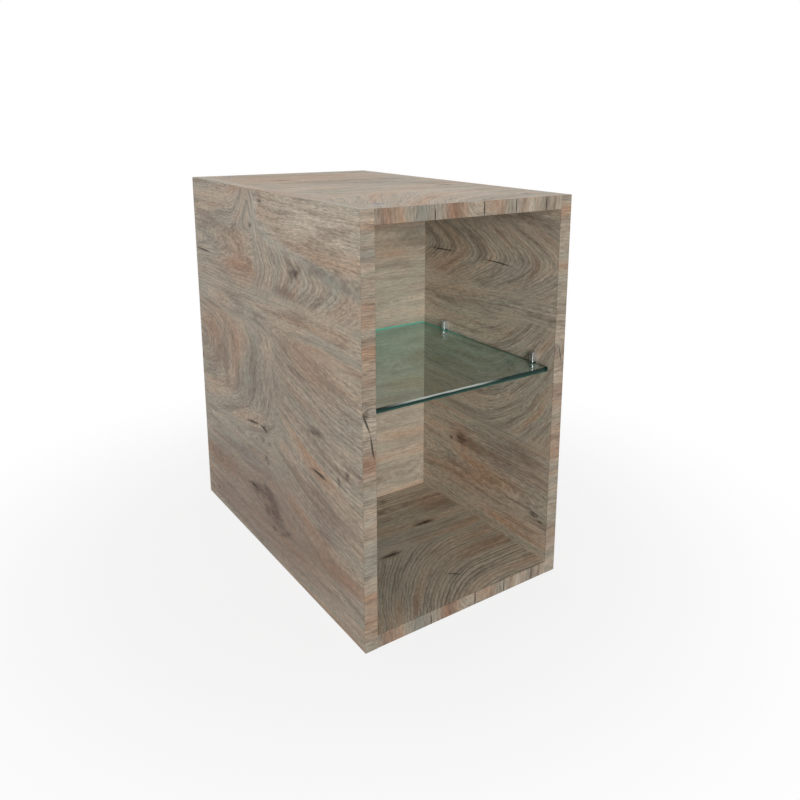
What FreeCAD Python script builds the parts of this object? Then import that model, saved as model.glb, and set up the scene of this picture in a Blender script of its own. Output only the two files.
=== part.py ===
"""Open shelving unit: faced boards joined by cam locks and dowels, and a glass shelf in four screw clips.

Millimetres. +Z is up, -Y is the open front, +X is to the right seen from the front.
The origin is the middle of the footprint, on the floor.
"""
import FreeCAD, Part
import os
import re

import Sketcher

DIMENSIONS = (
    ("inner_width", 250.0, "clear width between the side panels"),
    ("overall_height", 480.0, "floor to top face"),
    ("overall_depth", 460.0, "front edge to rear edge"),
    ("board", 16.0, "thickness of every panel"),
    ("alcove", 267.0, "front edge to the face of the back panel"),
    ("edging", 1.0, "thickness of the edging strips"),
    ("edging_round", 0.6, "rounding of an edging strip's outer long edges"),
    ("shelf_level", 268.0, "floor to the underside of the glass"),
    ("glass", 6.0, "thickness of the glass"),
    ("glass_bevel", 0.6, "ground bevel along the glass edges"),
    ("glass_setback", 8.0, "front edge of the unit to the glass"),
    ("glass_back_gap", 1.0, "glass to the back panel"),
    ("glass_side_gap", 0.8, "glass to the web of a clip"),
    ("clip_setback", 32.0, "front edge of the unit to the front clips' pins"),
    ("clip_spacing", 180.0, "front pin to rear pin"),
    ("clip_width", 6.0, "clip, measured along the wall"),
    ("clip_reach", 8.0, "clip, measured out from the wall"),
    ("clip_web", 2.0, "web of the clip against the wall"),
    ("lower_jaw", 4.5, "thickness of the jaw under the glass"),
    ("upper_jaw", 11.5, "thickness of the jaw that carries the clamp screw"),
    ("jaw_gap", 1.5, "glass to the upper jaw"),
    ("clip_round", 0.7, "rounding of a clip's side edges and chamfer of its nose"),
    ("pin_diameter", 5.0, "hole for a clip's pin"),
    ("pin_length", 8.0, "pin inside the side panel"),
    ("pad_diameter", 4.6, "recess of the soft pad"),
    ("pad_thickness", 1.0, "soft pad under the glass"),
    ("pad_seat", 0.5, "depth of the pad's recess"),
    ("screw_diameter", 3.0, "threaded hole of the clamp screw"),
    ("screw_length", 8.0, "clamp screw"),
    ("socket_width", 1.5, "hexagon socket across its flats"),
    ("socket_depth", 2.0, "depth of the hexagon socket"),
    ("tip_diameter", 1.8, "bore for the screw's nylon tip"),
    ("tip_length", 2.0, "nylon tip"),
    ("tip_seat", 1.0, "nylon tip inside the screw"),
    ("tip_gap", 0.1, "nylon tip to the glass"),
    ("cam_diameter", 15.0, "bore for a cam lock"),
    ("cam_bore_depth", 12.5, "depth of that bore"),
    ("cam_drilling", 24.0, "end of the panel to the cam's axis"),
    ("cam_setback", 34.0, "front or rear edge to the cam's axis"),
    ("cam_sink", 0.2, "cam's face below the panel's face"),
    ("cam_floor", 0.7, "wall under the cam's cavity"),
    ("cam_chamfer", 0.4, "chamfer round the cam's face"),
    ("recess_length", 6.4, "cross recess in the cam"),
    ("recess_width", 1.4, "arm of that cross"),
    ("recess_depth", 2.4, "depth of that cross"),
    ("neck_diameter", 4.4, "neck of a cam bolt"),
    ("head_diameter", 6.6, "head of a cam bolt"),
    ("bolt_bore", 8.0, "hole for a cam bolt in the panel's end"),
    ("bolt_thread", 5.0, "hole for a cam bolt in the side panel"),
    ("bolt_depth", 11.0, "bolt inside the side panel"),
    ("dowel_diameter", 8.0, "hole for a dowel"),
    ("dowel_length", 30.0, "dowel"),
    ("dowel_seat", 10.0, "dowel inside a panel's face"),
    ("dowel_chamfer", 1.0, "chamfer of a dowel's ends"),
    ("dowel_offset", 32.0, "cam's axis to the dowel beside it"),
    ("back_dowel_margin", 110.0, "top or bottom of the back panel to its side dowels"),
    ("back_dowel_inset", 60.0, "side of the back panel to its top and bottom dowels"),
    ("end_room", 0.5, "room past the end of a pin, bolt or dowel"),
    ("fit", 0.05, "radial clearance of a piece that sits in a hole"),
    ("running", 0.4, "clearance round the bolt head and neck inside a cam"),
    ("entry_room", 0.2, "clearance round the bolt head where it enters a cam"),
    ("cam_fit", 0.08, "radial clearance of a cam in its bore"),
)

doc = FreeCAD.newDocument("shelving_unit")
sheet = doc.addObject("Spreadsheet::Sheet", "Dimensions")
for row, (alias, value, meaning) in enumerate(DIMENSIONS, start=1):
    sheet.set(f"A{row}", alias)
    sheet.set(f"B{row}", str(value))
    sheet.set(f"C{row}", meaning)
    sheet.setAlias(f"B{row}", alias)
doc.recompute()


def sized(expression):
    """Point every size name in an expression at its cell of the sheet."""
    names = {alias for alias, value, meaning in DIMENSIONS}

    def cell(word):
        return f"Dimensions.{word[0]}" if word[0] in names else word[0]

    return re.sub(r"[a-z_]+", cell, expression)


def evaluate(piece, expression):
    """The present value of an expression, where a sketch's lines start before they are constrained."""
    return float(piece.evalExpression(sized(expression)))


def same(*lengths):
    """Whether lengths agree, to within rounding."""
    tolerance = 1e-6
    return max(lengths) - min(lengths) < tolerance


# Distances from the unit's left face, front edge and floor that several pieces share.
OVERALL_WIDTH = "(inner_width + 2 * board)"
RIGHT_WALL = "(board + inner_width)"
TOP_UNDERSIDE = "(overall_height - board)"
BOARD_ABOVE = "(overall_height - board / 2)"
BOARD_BELOW = "(board / 2)"
CAM_FRONT = "cam_setback"
CAM_REAR = "(overall_depth - cam_setback)"
DOWEL_FRONT = "(cam_setback + dowel_offset)"
DOWEL_REAR = "(overall_depth - cam_setback - dowel_offset)"
BACK_MIDDLE = "(alcove + board / 2)"
BACK_LOW = "(board + back_dowel_margin)"
BACK_HIGH = "(overall_height - board - back_dowel_margin)"
BACK_LEFT = "(board + back_dowel_inset)"
BACK_RIGHT = "(board + inner_width - back_dowel_inset)"
CLIP_FRONT = "clip_setback"
CLIP_REAR = "(clip_setback + clip_spacing)"

# Heights in a clip, from the underside of the glass.
CLIP_BOTTOM = "(pad_seat - pad_thickness - lower_jaw)"
LOWER_JAW_TOP = "(pad_seat - pad_thickness)"
UPPER_JAW_BOTTOM = "(glass + jaw_gap)"
CLIP_TOP = "(glass + jaw_gap + upper_jaw)"
PIN_HEIGHT = "((pad_seat - pad_thickness - lower_jaw + glass + jaw_gap + upper_jaw) / 2)"
CLAMP_REACH = "((clip_web + clip_reach) / 2)"
TIP_BOTTOM = "(glass + tip_gap)"
SCREW_BOTTOM = "(glass + tip_gap + tip_length - tip_seat)"

# Heights in a cam, from the axis of its bolt.
CAM_FACE = "(board / 2 - cam_sink)"
CAM_BOTTOM = "(board / 2 - cam_bore_depth + cam_fit)"
CAVITY_BOTTOM = "(board / 2 - cam_bore_depth + cam_fit + cam_floor)"

# Room round a bolt's head and neck, and how far the neck's slot goes round the cam:
# half a turn to unlock, and past each end by the angle that the neck takes up.
HEAD_ROOM = "(head_diameter / 2 + running)"
NECK_ROOM = "(neck_diameter / 2 + running)"
NECK_SLOT_TURN = f"180 deg + 2 * asin({NECK_ROOM} / {HEAD_ROOM})"


def origin_plane(body, role):
    """One of a body's own three origin planes."""
    return next(feature for feature in body.Origin.OriginFeatures if feature.Role == role)


def set_position(piece, x=None, y=None, z=None):
    """Bind a piece's position to the sheet, in the part's own frame."""
    for axis, expression in zip("xyz", (x, y, z)):
        if expression is not None:
            piece.setExpression(f"Placement.Base.{axis}", sized(expression))


def new_body(label, x=None, y=None, z=None):
    """A body named after its piece, with the parts of its position that are given bound to the sheet."""
    body = doc.addObject("PartDesign::Body", label)
    body.Label = label
    set_position(body, x, y, z)
    return body


def carcass_body(label):
    """A body drawn from the unit's front left corner on the floor."""
    return new_body(label, f"-{OVERALL_WIDTH} / 2", "-overall_depth / 2")


def new_sketch(body, name, role, offset=None):
    """A sketch on an origin plane, or on a plane parallel to it at an offset along its normal."""
    sketch = body.newObject("Sketcher::SketchObject", f"{body.Name}_{name}")
    sketch.AttachmentSupport = [(origin_plane(body, role), "")]
    sketch.MapMode = "FlatFace"
    if offset is not None:
        sketch.setExpression("AttachmentOffset.Base.z", sized(offset))
    return sketch


def pin_point(sketch, geometry, point, x, y):
    """Fix a point of a sketch at two signed distances from the sketch's origin, which is point 1 of -1."""
    for kind, expression in (("DistanceX", x), ("DistanceY", y)):
        name = f"{kind}_{geometry}_{point}"
        distance = evaluate(sketch, expression)
        index = sketch.addConstraint(Sketcher.Constraint(kind, -1, 1, geometry, point, distance))
        sketch.renameConstraint(index, name)
        sketch.setExpression(f"Constraints.{name}", sized(expression))


def draw_polygon(sketch, corners):
    """A closed outline through corners that are pairs of expressions.

    A side starts at its point 1, where point 2 of the side before it ends.
    """
    start = [FreeCAD.Vector(*(evaluate(sketch, value) for value in corner)) for corner in corners]
    for first, second in zip(start, start[1:] + start[:1]):
        sketch.addGeometry(Part.LineSegment(first, second))
    for side, corner in enumerate(corners):
        before = (side - 1) % len(corners)
        sketch.addConstraint(Sketcher.Constraint("Coincident", before, 2, side, 1))
        pin_point(sketch, side, 1, *corner)


def draw_circles(sketch, centres, diameter):
    """Circles of one diameter round centres, a circle's point 3, that are pairs of expressions."""
    radius = evaluate(sketch, diameter) / 2
    for centre in centres:
        middle = FreeCAD.Vector(*(evaluate(sketch, value) for value in centre))
        circle = sketch.addGeometry(Part.Circle(middle, FreeCAD.Vector(0, 0, 1), radius))
        pin_point(sketch, circle, 3, *centre)
        name = f"Diameter_{circle}"
        index = sketch.addConstraint(Sketcher.Constraint("Diameter", circle, 2 * radius))
        sketch.renameConstraint(index, name)
        sketch.setExpression(f"Constraints.{name}", sized(diameter))


def rectangle(left, low, right, high):
    """Corners of a rectangle between two pairs of expressions."""
    return ((left, low), (right, low), (right, high), (left, high))


def add_pad(body, sketch, length, towards_normal=True):
    pad = body.newObject("PartDesign::Pad", f"{sketch.Name}_pad")
    pad.Profile = sketch
    pad.Reversed = not towards_normal
    pad.setExpression("Length", sized(length))
    doc.recompute()
    return pad


def add_pocket(body, sketch, depth, along_normal=False):
    """Cut a sketch into the body, against the sketch's normal unless told otherwise."""
    before = body.Shape.Volume
    pocket = body.newObject("PartDesign::Pocket", f"{sketch.Name}_pocket")
    pocket.Profile = sketch
    pocket.Reversed = along_normal
    pocket.setExpression("Length", sized(depth))
    doc.recompute()
    if not body.Shape.Volume < before:
        raise RuntimeError(f"{pocket.Name} cuts nothing")
    return pocket


def drill(body, name, role, offset, centres, diameter, depth, along_normal=False):
    """Blind holes into one face of a panel."""
    sketch = new_sketch(body, name, role, offset)
    draw_circles(sketch, centres, diameter)
    add_pocket(body, sketch, depth, along_normal)


def add_groove(body, name, corners, turn):
    """Turn a profile in the YZ plane about Z, evenly to both sides of that plane, and cut it away."""
    before = body.Shape.Volume
    profile = new_sketch(body, name, "YZ_Plane")
    draw_polygon(profile, corners)
    groove = body.newObject("PartDesign::Groove", f"{profile.Name}_groove")
    groove.Profile = profile
    groove.ReferenceAxis = (profile, ["V_Axis"])
    groove.Midplane = True
    groove.setExpression("Angle", sized(turn))
    doc.recompute()
    if not body.Shape.Volume < before:
        raise RuntimeError(f"{groove.Name} cuts nothing")


def edges_where(shape, test):
    """Names of the edges whose two ends pass a test."""
    return [f"Edge{number}" for number, edge in enumerate(shape.Edges, start=1)
            if len(edge.Vertexes) == 2 and test(edge.Vertexes[0].Point, edge.Vertexes[1].Point)]


def add_dressing(body, kind, base, edges, size_property, size):
    """A fillet or a chamfer along named edges."""
    dressing = body.newObject(f"PartDesign::{kind}", f"{base.Name}_{kind.lower()}")
    dressing.Base = (base, edges)
    dressing.setExpression(size_property, sized(size))
    doc.recompute()
    return dressing


def mirrored(label, source, axis, middle=None):
    """The mirror image of a piece across the unit's middle plane on one axis."""
    image = doc.addObject("Part::Mirroring", label)
    image.Label = label
    image.Source = source
    image.Normal = FreeCAD.Vector(*(float(letter == axis) for letter in "xyz"))
    if middle is not None:
        image.setExpression(f"Base.{axis}", sized(middle))
    return image


def placed_copy(label, source, rotation, x, y, z):
    """One more of a piece that is drawn once, turned and put in its own place."""
    copy = doc.addObject("App::Link", label)
    copy.Label = label
    copy.setLink(source)
    copy.Placement = FreeCAD.Placement(FreeCAD.Vector(), rotation)
    set_position(copy, x, y, z)
    return copy


def group(label, members):
    """Identical fasteners that share one node."""
    compound = doc.addObject("Part::Compound", label)
    compound.Label = label
    compound.Links = members
    return compound


UPRIGHT = FreeCAD.Rotation()
ABOUT_X = FreeCAD.Vector(1, 0, 0)
ABOUT_Y = FreeCAD.Vector(0, 1, 0)
ABOUT_Z = FreeCAD.Vector(0, 0, 1)


# Panels, drawn from the unit's front left corner on the floor.

def left_side_panel():
    body = carcass_body("left_side_panel")
    outline = new_sketch(body, "outline", "YZ_Plane")
    draw_polygon(outline, rectangle("edging", "edging", "overall_depth - edging", "overall_height - edging"))
    add_pad(body, outline, "board")
    cams = [(y, z) for y in (CAM_FRONT, CAM_REAR) for z in (BOARD_BELOW, BOARD_ABOVE)]
    dowels = [(y, z) for y in (DOWEL_FRONT, DOWEL_REAR) for z in (BOARD_BELOW, BOARD_ABOVE)]
    dowels += [(BACK_MIDDLE, z) for z in (BACK_LOW, BACK_HIGH)]
    pins = [(y, f"shelf_level + {PIN_HEIGHT}") for y in (CLIP_FRONT, CLIP_REAR)]
    drill(body, "bolt_holes", "YZ_Plane", "board", cams, "bolt_thread", "bolt_depth + end_room")
    drill(body, "dowel_holes", "YZ_Plane", "board", dowels, "dowel_diameter", "dowel_seat + end_room")
    drill(body, "pin_holes", "YZ_Plane", "board", pins, "pin_diameter", "pin_length + end_room")
    return body


def top_panel():
    body = carcass_body("top_panel")
    outline = new_sketch(body, "outline", "XY_Plane", TOP_UNDERSIDE)
    draw_polygon(outline, rectangle("board", "edging", RIGHT_WALL, "overall_depth - edging"))
    add_pad(body, outline, "board")
    bolts = [(y, BOARD_ABOVE) for y in (CAM_FRONT, CAM_REAR)]
    dowels = [(y, BOARD_ABOVE) for y in (DOWEL_FRONT, DOWEL_REAR)]
    for end, at, inwards in (("left", "board", True), ("right", RIGHT_WALL, False)):
        drill(body, f"{end}_bolt_holes", "YZ_Plane", at, bolts, "bolt_bore", "cam_drilling", inwards)
        drill(body, f"{end}_dowel_holes", "YZ_Plane", at, dowels, "dowel_diameter",
              "dowel_length - dowel_seat + end_room", inwards)
    across = ("board + cam_drilling", f"{RIGHT_WALL} - cam_drilling")
    cams = [(x, y) for x in across for y in (CAM_FRONT, CAM_REAR)]
    drill(body, "cam_bores", "XY_Plane", "overall_height", cams, "cam_diameter", "cam_bore_depth")
    back = [(x, BACK_MIDDLE) for x in (BACK_LEFT, BACK_RIGHT)]
    drill(body, "back_dowel_holes", "XY_Plane", TOP_UNDERSIDE, back, "dowel_diameter",
          "dowel_seat + end_room", along_normal=True)
    return body


def back_panel():
    body = carcass_body("back_panel")
    outline = new_sketch(body, "outline", "XY_Plane", "board")
    draw_polygon(outline, rectangle("board", "alcove", RIGHT_WALL, "alcove + board"))
    add_pad(body, outline, "overall_height - 2 * board")
    ends = [(BACK_MIDDLE, z) for z in (BACK_LOW, BACK_HIGH)]
    edges = [(x, BACK_MIDDLE) for x in (BACK_LEFT, BACK_RIGHT)]
    depth = "dowel_length - dowel_seat + end_room"
    drill(body, "left_dowel_holes", "YZ_Plane", "board", ends, "dowel_diameter", depth, along_normal=True)
    drill(body, "right_dowel_holes", "YZ_Plane", RIGHT_WALL, ends, "dowel_diameter", depth)
    drill(body, "low_dowel_holes", "XY_Plane", "board", edges, "dowel_diameter", depth, along_normal=True)
    drill(body, "high_dowel_holes", "XY_Plane", TOP_UNDERSIDE, edges, "dowel_diameter", depth)
    return body


# Edging strips. Each is drawn upright with its outer face at Y = 0, then turned into place.

def edging_strip(label, length, rotation, x, y, z):
    body = new_body(label)
    body.Placement = FreeCAD.Placement(FreeCAD.Vector(), rotation)
    set_position(body, x, y, z)
    face = new_sketch(body, "face", "XZ_Plane")
    draw_polygon(face, rectangle("0", "0", "board", length))
    strip = add_pad(body, face, "edging", towards_normal=False)
    rounded = edges_where(strip.Shape, lambda a, b: same(a.y, b.y, 0) and same(a.x, b.x))
    add_dressing(body, "Fillet", strip, rounded, "Radius", "edging_round")
    return body


def edging_strips():
    facing_front = UPRIGHT
    facing_up = FreeCAD.Rotation(ABOUT_X, -90)
    lying_across = FreeCAD.Rotation(ABOUT_Y, 90)
    left_face = f"-{OVERALL_WIDTH} / 2"
    front = "-overall_depth / 2"
    between = "overall_depth - 2 * edging"
    left = (
        edging_strip("left_side_front_edging", "overall_height", facing_front, left_face, front, "0"),
        edging_strip("left_side_top_edging", between, facing_up,
                     left_face, f"{front} + edging", "overall_height"),
    )
    crossing = edging_strip("top_panel_front_edging", "inner_width", lying_across,
                            "-inner_width / 2", front, "overall_height")
    strips = list(left) + [crossing]
    side_rear = mirrored("left_side_rear_edging", left[0], "y")
    side_bottom = mirrored("left_side_bottom_edging", left[1], "z", "overall_height / 2")
    for strip in (*left, side_rear, side_bottom):
        strips.append(mirrored(strip.Label.replace("left", "right"), strip, "x"))
    crossing_rear = mirrored("top_panel_rear_edging", crossing, "y")
    for strip in (crossing, crossing_rear):
        strips.append(mirrored(strip.Label.replace("top", "bottom"), strip, "z", "overall_height / 2"))
    return strips + [side_rear, side_bottom, crossing_rear]


# The glass and its clips.

def glass_shelf():
    body = new_body("glass_shelf", None, "glass_setback - overall_depth / 2", "shelf_level")
    half = "inner_width / 2 - clip_web - glass_side_gap"
    outline = new_sketch(body, "outline", "XY_Plane")
    draw_polygon(outline, rectangle(f"-({half})", "0", half, "alcove - glass_setback - glass_back_gap"))
    sheet_of_glass = add_pad(body, outline, "glass")
    level = edges_where(sheet_of_glass.Shape, lambda a, b: same(a.z, b.z))
    add_dressing(body, "Chamfer", sheet_of_glass, level, "Size", "glass_bevel")
    return body


def clip_body():
    """One clip: its web lies on the wall at X = 0 and its jaws point along +X, glass underside at Z = 0."""
    body = new_body("clip_pattern")
    profile = new_sketch(body, "profile", "XZ_Plane", "-clip_width / 2")
    draw_polygon(profile, (("0", CLIP_BOTTOM), ("clip_reach - clip_round", CLIP_BOTTOM),
                           ("clip_reach", f"{CLIP_BOTTOM} + clip_round"), ("clip_reach", LOWER_JAW_TOP),
                           ("clip_web", LOWER_JAW_TOP), ("clip_web", UPPER_JAW_BOTTOM),
                           ("clip_reach", UPPER_JAW_BOTTOM), ("clip_reach", f"{CLIP_TOP} - clip_round"),
                           ("clip_reach - clip_round", CLIP_TOP), ("0", CLIP_TOP)))
    jaws = add_pad(body, profile, "clip_width")
    reach = evaluate(body, "clip_reach")
    top = evaluate(body, CLIP_TOP)

    def is_outer(a, b):
        slanted = not same(a.x, b.x) and not same(a.z, b.z)
        return same(a.y, b.y) and (slanted or same(a.x, b.x, reach) or same(a.z, b.z, top))

    add_dressing(body, "Fillet", jaws, edges_where(jaws.Shape, is_outer), "Radius", "clip_round")
    pin = new_sketch(body, "pin", "YZ_Plane")
    draw_circles(pin, [("0", PIN_HEIGHT)], "pin_diameter - 2 * fit")
    add_pad(body, pin, "pin_length", towards_normal=False)
    drill(body, "screw_hole", "XY_Plane", CLIP_TOP, [(CLAMP_REACH, "0")], "screw_diameter", "upper_jaw")
    drill(body, "pad_recess", "XY_Plane", LOWER_JAW_TOP, [(CLAMP_REACH, "0")], "pad_diameter", "pad_seat")
    return body


def clip_pad():
    body = new_body("pad_pattern")
    disc = new_sketch(body, "disc", "XY_Plane", "-pad_thickness")
    draw_circles(disc, [("0", "0")], "pad_diameter - 2 * fit")
    add_pad(body, disc, "pad_thickness")
    return body


def clamp_screw():
    """The clamp screw stands on Z = 0, with a bore for its nylon tip below and a hexagon socket above."""
    body = new_body("screw_pattern")
    shank = new_sketch(body, "shank", "XY_Plane")
    draw_circles(shank, [("0", "0")], "screw_diameter - 2 * fit")
    add_pad(body, shank, "screw_length")
    drill(body, "tip_bore", "XY_Plane", None, [("0", "0")], "tip_diameter", "tip_seat + fit",
          along_normal=True)
    socket = new_sketch(body, "socket", "XY_Plane", "screw_length")
    flat = "socket_width / 2"
    corner = "(socket_width / sqrt(3))"
    draw_polygon(socket, ((corner, "0"), (f"{corner} / 2", flat), (f"-{corner} / 2", flat),
                          (f"-{corner}", "0"), (f"-{corner} / 2", f"-{flat}"), (f"{corner} / 2", f"-{flat}")))
    add_pocket(body, socket, "socket_depth")
    return body


def clamp_tip():
    body = new_body("tip_pattern")
    disc = new_sketch(body, "disc", "XY_Plane")
    draw_circles(disc, [("0", "0")], "tip_diameter - 2 * fit")
    add_pad(body, disc, "tip_length")
    return body


def clips():
    """Four clips with their pads, clamp screws and nylon tips, two on each wall."""
    patterns = {"clip": (clip_body(), "0", "0"), "clip_pad": (clip_pad(), CLAMP_REACH, "0"),
                "clamp_screw": (clamp_screw(), CLAMP_REACH, SCREW_BOTTOM),
                "clamp_tip": (clamp_tip(), CLAMP_REACH, TIP_BOTTOM)}
    pieces = []
    for side, outwards, turn in (("left", "-", 0), ("right", "", 180)):
        inwards = "+" if side == "left" else "-"
        for place, setback in (("front", CLIP_FRONT), ("rear", CLIP_REAR)):
            for name, (pattern, reach, level) in patterns.items():
                pieces.append(placed_copy(f"{place}_{side}_{name}", pattern, FreeCAD.Rotation(ABOUT_Z, turn),
                                          f"{outwards} inner_width / 2 {inwards} {reach}",
                                          f"{setback} - overall_depth / 2", f"shelf_level + {level}"))
    return pieces


# Cam locks, their bolts, and dowels.

def cam():
    """A cam lock, its axis on Z. The bolt lies along X at Z = 0 and comes in from -X when it is locked."""
    body = new_body("cam_pattern")
    disc = new_sketch(body, "disc", "XY_Plane", CAM_BOTTOM)
    draw_circles(disc, [("0", "0")], "cam_diameter - 2 * cam_fit")
    housing = add_pad(body, disc, f"{CAM_FACE} - {CAM_BOTTOM}")
    face = evaluate(body, CAM_FACE)
    rim = [f"Edge{number}" for number, edge in enumerate(housing.Shape.Edges, start=1)
           if same(edge.BoundBox.ZMin, edge.BoundBox.ZMax, face)]
    add_dressing(body, "Chamfer", housing, rim, "Size", "cam_chamfer")
    add_groove(body, "cavity", rectangle("0", CAVITY_BOTTOM, HEAD_ROOM, HEAD_ROOM), "360 deg")
    neck_slot = rectangle("head_diameter / 2", f"-{NECK_ROOM}", "cam_diameter", NECK_ROOM)
    add_groove(body, "neck_slot", neck_slot, NECK_SLOT_TURN)
    drill(body, "head_entry", "YZ_Plane", None, [("0", "0")], "head_diameter + 2 * entry_room",
          "cam_diameter", along_normal=True)
    cross = new_sketch(body, "cross", "XY_Plane", CAM_FACE)
    arm, half = "recess_length / 2", "recess_width / 2"
    draw_polygon(cross, ((arm, f"-{half}"), (arm, half), (half, half), (half, arm), (f"-{half}", arm),
                         (f"-{half}", half), (f"-{arm}", half), (f"-{arm}", f"-{half}"),
                         (f"-{half}", f"-{half}"), (f"-{half}", f"-{arm}"), (half, f"-{arm}"),
                         (half, f"-{half}")))
    add_pocket(body, cross, "recess_depth")
    return body


def cams():
    """Eight cams; those in the bottom panel face down."""
    pattern = cam()
    pieces = []
    for level, height, flipped in (("top", BOARD_ABOVE, 0), ("bottom", BOARD_BELOW, 180)):
        for place, setback in (("front", CAM_FRONT), ("rear", CAM_REAR)):
            for side, sign, turn in (("left", "-", 0), ("right", "", 180)):
                rotation = FreeCAD.Rotation(ABOUT_Z, turn) * FreeCAD.Rotation(ABOUT_X, flipped)
                inwards = "+" if side == "left" else "-"
                pieces.append(placed_copy(f"{level}_{place}_{side}_cam", pattern, rotation,
                                          f"{sign} inner_width / 2 {inwards} cam_drilling",
                                          f"{setback} - overall_depth / 2", height))
    return pieces


def cam_bolts():
    """Eight bolts along X: a thread in the side panel, a neck, and a round head on the cam's axis."""
    body = new_body("bolt_pattern")
    thread = new_sketch(body, "thread", "YZ_Plane")
    draw_circles(thread, [("0", "0")], "bolt_thread - 2 * fit")
    add_pad(body, thread, "bolt_depth", towards_normal=False)
    neck = new_sketch(body, "neck", "YZ_Plane")
    draw_circles(neck, [("0", "0")], "neck_diameter")
    add_pad(body, neck, "cam_drilling")
    head = body.newObject("PartDesign::AdditiveSphere", "bolt_pattern_head")
    head.setExpression("Radius", sized("head_diameter / 2"))
    head.setExpression("Placement.Base.x", sized("cam_drilling"))
    doc.recompute()
    bolts = []
    for height in (BOARD_BELOW, BOARD_ABOVE):
        for setback in (CAM_FRONT, CAM_REAR):
            for sign, turn in (("-", 0), ("", 180)):
                bolts.append(placed_copy(f"bolt_{len(bolts)}", body, FreeCAD.Rotation(ABOUT_Z, turn),
                                         f"{sign} inner_width / 2", f"{setback} - overall_depth / 2", height))
    return group("cam_bolts", bolts)


def dowel():
    """One dowel along X, its seat in a panel's face before X = 0 and the rest in a panel's end after it."""
    body = new_body("dowel_pattern")
    round_section = new_sketch(body, "section", "YZ_Plane", "-dowel_seat")
    draw_circles(round_section, [("0", "0")], "dowel_diameter - 2 * fit")
    rod = add_pad(body, round_section, "dowel_length")
    ends = [f"Edge{number}" for number, edge in enumerate(rod.Shape.Edges, start=1)
            if same(edge.BoundBox.XMin, edge.BoundBox.XMax)]
    add_dressing(body, "Chamfer", rod, ends, "Size", "dowel_chamfer")
    return body


def dowels():
    """Eight dowels between the sides and the top and bottom, and eight round the back panel."""
    pattern = dowel()
    pieces = {"panel_dowels": [], "back_panel_dowels": []}

    def put(label, rotation, x, setback, z):
        members = pieces[label]
        y = f"{setback} - overall_depth / 2"
        members.append(placed_copy(f"{label}_{len(members)}", pattern, rotation, x, y, z))

    for sign, turn in (("-", 0), ("", 180)):
        rotation = FreeCAD.Rotation(ABOUT_Z, turn)
        for height in (BOARD_BELOW, BOARD_ABOVE):
            for setback in (DOWEL_FRONT, DOWEL_REAR):
                put("panel_dowels", rotation, f"{sign} inner_width / 2", setback, height)
        for height in (BACK_LOW, BACK_HIGH):
            put("back_panel_dowels", rotation, f"{sign} inner_width / 2", BACK_MIDDLE, height)
    for height, turn in (("board", -90), (TOP_UNDERSIDE, 90)):
        for x in (BACK_LEFT, BACK_RIGHT):
            put("back_panel_dowels", FreeCAD.Rotation(ABOUT_Y, turn), f"{x} - {OVERALL_WIDTH} / 2",
                BACK_MIDDLE, height)
    return [group(label, members) for label, members in pieces.items()]


def build():
    """Every piece of the unit that is written out as a node of its own."""
    left = left_side_panel()
    top = top_panel()
    pieces = [left, mirrored("right_side_panel", left, "x"), top,
              mirrored("bottom_panel", top, "z", "overall_height / 2"), back_panel()]
    pieces += edging_strips()
    pieces.append(glass_shelf())
    pieces += clips()
    pieces += cams()
    pieces.append(cam_bolts())
    pieces += dowels()
    doc.recompute()
    return pieces


def write(pieces):
    """Check the whole document, then write each piece to its own file."""
    failed = [item.Name for item in doc.Objects if {"Invalid", "Error"} & set(item.State)]
    if failed:
        raise RuntimeError(f"failed objects: {failed}")
    shapes = {piece.Label: Part.getShape(piece) for piece in pieces}
    for label, shape in shapes.items():
        if shape.isNull() or not shape.isValid() or not shape.Solids:
            raise RuntimeError(f"bad shape: {label}")
    os.makedirs("parts", exist_ok=True)
    for label, shape in shapes.items():
        shape.exportStep(f"parts/{label}.step")
    print(f"{len(shapes)} nodes, {sum(len(shape.Solids) for shape in shapes.values())} solids")


write(build())
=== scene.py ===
"""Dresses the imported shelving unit: printed oak, end-grain edging, green glass and chrome clips."""
import math

import bpy
from mathutils import Matrix, Vector


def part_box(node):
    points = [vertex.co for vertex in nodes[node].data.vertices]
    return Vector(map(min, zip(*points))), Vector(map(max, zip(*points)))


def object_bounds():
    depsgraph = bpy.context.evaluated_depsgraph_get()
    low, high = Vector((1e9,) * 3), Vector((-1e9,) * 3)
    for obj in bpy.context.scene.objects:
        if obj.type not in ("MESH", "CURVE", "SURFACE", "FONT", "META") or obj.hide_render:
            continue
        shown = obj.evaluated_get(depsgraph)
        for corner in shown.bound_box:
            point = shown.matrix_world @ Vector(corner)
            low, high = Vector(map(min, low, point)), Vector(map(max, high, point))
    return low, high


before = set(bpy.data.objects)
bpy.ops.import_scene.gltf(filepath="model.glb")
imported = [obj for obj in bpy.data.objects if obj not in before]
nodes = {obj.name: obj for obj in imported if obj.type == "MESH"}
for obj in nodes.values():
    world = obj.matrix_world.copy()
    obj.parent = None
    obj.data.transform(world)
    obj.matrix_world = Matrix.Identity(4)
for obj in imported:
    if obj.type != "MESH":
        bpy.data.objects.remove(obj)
cad_low, cad_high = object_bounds()

# The numbers of a mix node's sockets when it mixes colours.
MIX_FACTOR, MIX_A, MIX_B, MIX_RESULT = 0, 6, 7, 2

# The unit's own sizes, in millimetres. The origin is the middle of its footprint.
MILLIMETRES = 1000.0
HALF_WIDTH, HALF_DEPTH, HEIGHT = MILLIMETRES * cad_high
INNER_HALF_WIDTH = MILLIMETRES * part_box("top_panel")[1].x
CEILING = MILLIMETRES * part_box("top_panel")[0].z
BACK_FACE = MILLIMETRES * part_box("back_panel")[0].y
GLASS_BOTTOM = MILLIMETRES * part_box("glass_shelf")[0].z


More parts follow.
